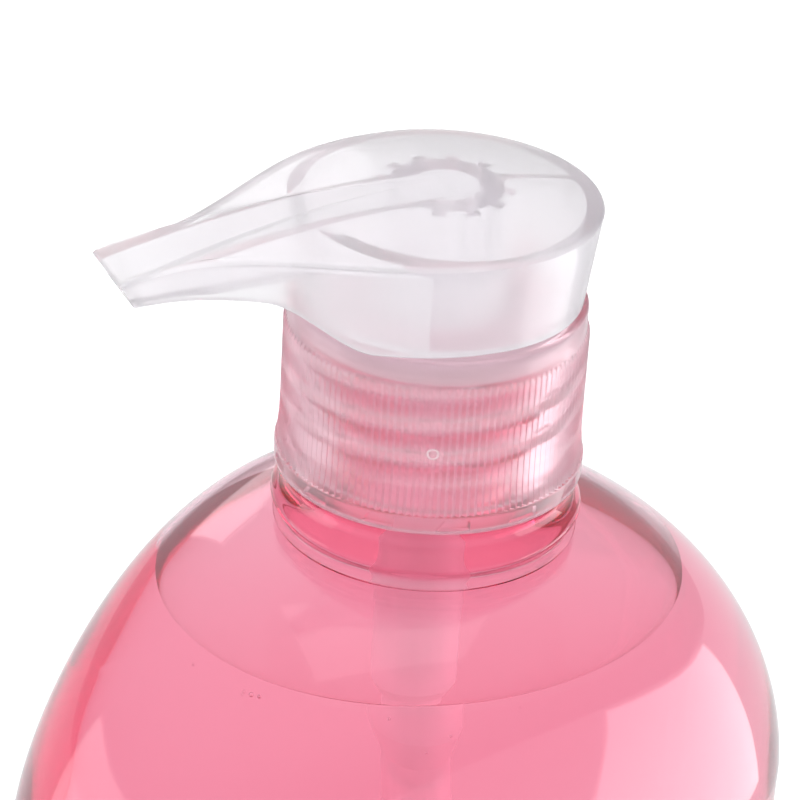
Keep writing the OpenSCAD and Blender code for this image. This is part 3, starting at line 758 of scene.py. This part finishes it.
def ductBody():
    h = headSet
    steps = spread(3, h["spout"] - 2.2, 24)
    floor = [(s, ductFloor(s)) for s in steps]
    roof = [(s, roofHeight(s) - h["plate"] + 0.35) for s in reversed(steps)]
    return bar(floor + roof, h["duct"] + 2)


def ductBore():
    h = headSet
    steps = spread(0, h["spout"] + 1, 24)
    floor = [(s, ductFloor(s) + h["ductWall"]) for s in steps]
    roof = [(s, roofHeight(min(s, h["spout"])) - h["plate"] - 0.25) for s in reversed(steps)]
    return bar(floor + roof, h["duct"])


def roundWall():
    h = headSet
    low, high, top = h["lowRadius"] - h["ringIn"], h["radius"] - h["ringIn"], headEdge - h["ringIn"]
    return loft([roundRing(h["base"], low - h["ringWall"]), roundRing(h["base"], low),
                 roundRing(top, high), roundRing(top, high - h["ringWall"])])


def splinedBoss():
    h = headSet
    corners = ((-1, h["splineDepth"]), (-1, 0.15), (-0.8, 0), (0.8, 0), (1, 0.15), (1, h["splineDepth"]))
    ring = []
    for i in range(h["splines"]):
        for side, depth in corners:
            turn = 2 * pi / h["splines"] * (i + h["splineShare"] / 2 * side)
            ring.append(((h["spline"] - depth) * cos(turn), (h["spline"] - depth) * sin(turn)))
    rings = [[(x, y, z) for x, y in ring] for z in (h["splineLow"], h["bossTop"])]
    return loft(rings, (0, 0, h["splineLow"]), (0, 0, h["bossTop"]))


def rod(low, high, radius, count=96):
    return loft([roundRing(low, radius, count), roundRing(high, radius, count)], (0, 0, low), (0, 0, high))


def backRib():
    h = headSet
    start = -h["lowRadius"] - 0.2
    steps = spread(start, start + h["lowRadius"] - h["boss"], 8)
    foot = [(s, headEdge - h["ribDeep"]) for s in (steps[0], steps[-1])]
    top = [(s, headEdge + h["dome"] * (1 - (s / h["radius"]) ** 2) - h["plate"] / 2) for s in reversed(steps)]
    return bar(foot + top, h["ribWide"])


def joined(base, adds, cuts):  # one solid of the base with the adds welded in and the cuts taken out
    tools = []
    for shapes, operation in ((adds, "UNION"), (cuts, "DIFFERENCE")):
        for shape in shapes:
            tool = rawPiece("tool", shape)
            step = base.modifiers.new("weld", "BOOLEAN")
            step.object = tool
            step.operation = operation
            step.solver = "MANIFOLD"
            tools.append(tool)
    bpy.context.view_layer.update()
    whole = bpy.data.meshes.new_from_object(base.evaluated_get(bpy.context.evaluated_depsgraph_get()))
    base.modifiers.clear()
    base.data = whole
    for tool in tools:
        bpy.data.objects.remove(tool)
    return base


def makeHead():
    h = headSet
    boss = rod(h["bossLow"], h["splineLow"] + 1, h["boss"])
    stem = rod(h["bossLow"] - 1, h["stemTop"] + 0.01, h["stem"])
    chamber = rod(h["stemTop"], h["stemTop"] + h["chamberTall"], h["chamber"])
    head = joined(rawPiece("pumpHead", headShell()),
                  [roundWall(), ductBody(), splinedBoss(), boss, backRib()], [stem, chamber, ductBore()])
    head.data.transform(Matrix.Rotation(radians(h["turn"]), 4, "Z"))
    return finishPiece(head, "head", "headPoly", ["pump_head"], 35)


pumpHead = makeHead()
print("pump head moulded:", len(pumpHead.data.polygons), "faces")


# return spring
springSet = {"low": 163.02, "tall": 10.56, "radius": 3.75, "wire": 0.8, "rounds": 10, "steps": 40, "sides": 12}


def springShape():
    s = springSet
    steps, sides = s["rounds"] * s["steps"], s["sides"]
    rings = []
    for k in range(steps + 1):
        turn = 2 * pi * k / s["steps"]
        z = s["low"] + s["wire"] / 2 + (s["tall"] - s["wire"]) * k / steps
        ring = []
        for i in range(sides):
            w = -2 * pi * i / sides
            r = s["radius"] + s["wire"] / 2 * cos(w)
            ring.append((r * cos(turn), r * sin(turn), z + s["wire"] / 2 * sin(w)))
        rings.append(ring)
    ends = [tuple(sum(p[axis] for p in ring) / sides for axis in range(3)) for ring in (rings[0], rings[-1])]
    return loft(rings, ends[0], ends[1])


def makeSpring():
    spring = rawPiece("returnSpring", springShape())
    spring.data.materials.append(finishes["springWire"])
    spring.data.shade_smooth()
    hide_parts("spring")
    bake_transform(spring)


makeSpring()
print("spring wound")


# the inner pieces keep their CAD shape and get their finishes
finishOf = {"stem": "whitePoly", "lock_ring": "whitePoly", "pump_cylinder": "naturalPoly",
            "neck_gasket": "seal", "piston": "seal", "piston_valve": "whitePoly", "ball_cage": "whitePoly",
            "inlet_ball": "ballSteel", "dip_tube": "naturalPoly"}
for name, finish in finishOf.items():
    mesh = nodes[name].data
    mesh.materials.clear()
    mesh.materials.append(finishes[finish])
print("inner pieces finished")


# studio: pale floor, pale surround, soft lamps
studioSet = {"floor": 3.0, "floorSteps": 12, "floorColour": (0.54, 0.54, 0.55), "floorGlow": 0.45,
             "floorThrough": 0.04, "side": 0.50, "top": 0.85, "rise": (-0.1, 0.9), "fill": (1.2, 1.95),
             "front": (-0.50, -0.80, 0.33), "fillSpan": (-0.3, 1.0), "through": 0.90, "lampAim": (0, 0, 0.17),
             "lamps": {"topPanel": ((-0.10, 0.05, 1.30), (0.90, 0.90), 1.2),
                       "lowCard": ((0.232, -0.118, 0.090), (0.24, 0.14), 0.17),
                       "leftCard": ((-0.390, 0.225, 0.120), (0.30, 0.24), 0.24),
                       "backPanel": ((0.18, 0.80, 0.49), (0.45, 0.26), 0.4)}}


def layFloor(opts):
    mesh = bpy.data.meshes.new("studioFloor")
    size, steps = opts["floor"], opts["floorSteps"]
    row = steps + 1
    points = [(size * (2 * i / steps - 1), size * (2 * j / steps - 1), 0)
              for j in range(row) for i in range(row)]
    faces = [(j * row + i, j * row + i + 1, (j + 1) * row + i + 1, (j + 1) * row + i)
             for j in range(steps) for i in range(steps)]
    mesh.from_pydata(points, [], faces)
    floor = bpy.data.objects.new("studioFloor", mesh)
    bpy.context.scene.collection.objects.link(floor)
    look = newFinish("paleFloor")
    body = look.node("ShaderNodeBsdfDiffuse", {}, {"Color": opaque(opts["floorColour"])})
    seen = look.node("ShaderNodeLightPath", out="Is Camera Ray")
    through = look.node("ShaderNodeLightPath", out="Is Transmission Ray")
    glow = look.node("ShaderNodeEmission", {}, {
        "Color": (1, 1, 1, 1), "Strength": seen * opts["floorGlow"] + through * opts["floorThrough"]})
    look.show(look.node("ShaderNodeAddShader", {}, {0: body, 1: glow}))
    mesh.materials.append(look.owner)


def lightSurround(opts):
    world = bpy.data.worlds.new("paleSurround")
    bpy.context.scene.world = world
    look = Finish(world)
    way = look.node("ShaderNodeTexCoord", out="Generated")
    height = look.node("ShaderNodeSeparateXYZ", {}, {0: way}, out=2)
    shade = look.between(height, *opts["rise"], opts["side"], opts["top"])
    seen, glossy, through = (look.node("ShaderNodeLightPath", out=kind)
                             for kind in ("Is Camera Ray", "Is Glossy Ray", "Is Transmission Ray"))
    front = look.node("ShaderNodeVectorMath", {"operation": "DOT_PRODUCT"}, {0: way, 1: opts["front"]}, out=1)
    fill = look.between(front, *opts["fillSpan"], *opts["fill"])
    other = (1 - glossy) * (1 - through)
    unseen = glossy * shade + (1 - glossy) * through * opts["through"] + other * fill
    strength = seen + (1 - seen) * unseen
    back = look.node("ShaderNodeBackground", {}, {"Color": (1, 1, 1, 1), "Strength": strength})
    look.node("ShaderNodeOutputWorld", {}, {"Surface": back}, out=None)


def hangLamps(opts):
    for name, (spot, size, watts) in opts["lamps"].items():
        lamp = bpy.data.lights.new(name, "AREA")
        lamp.shape = "RECTANGLE"
        lamp.size, lamp.size_y = size
        lamp.energy = watts
        holder = bpy.data.objects.new(name, lamp)
        holder.location = spot
        aim = Vector(opts["lampAim"]) - Vector(spot)
        holder.rotation_euler = aim.to_track_quat("-Z", "Y").to_euler()
        bpy.context.scene.collection.objects.link(holder)


layFloor(studioSet)
lightSurround(studioSet)
hangLamps(studioSet)
bpy.context.scene.view_settings.view_transform = "Standard"
bpy.context.scene.cycles.max_bounces = 16  # clear walls and liquid inside one another take many
bpy.context.scene.cycles.transmission_bounces = 16
bpy.context.scene.cycles.glossy_bounces = 8
bpy.context.scene.cycles.diffuse_bounces = 3
bpy.context.scene.cycles.transparent_max_bounces = 12
print("studio lit")
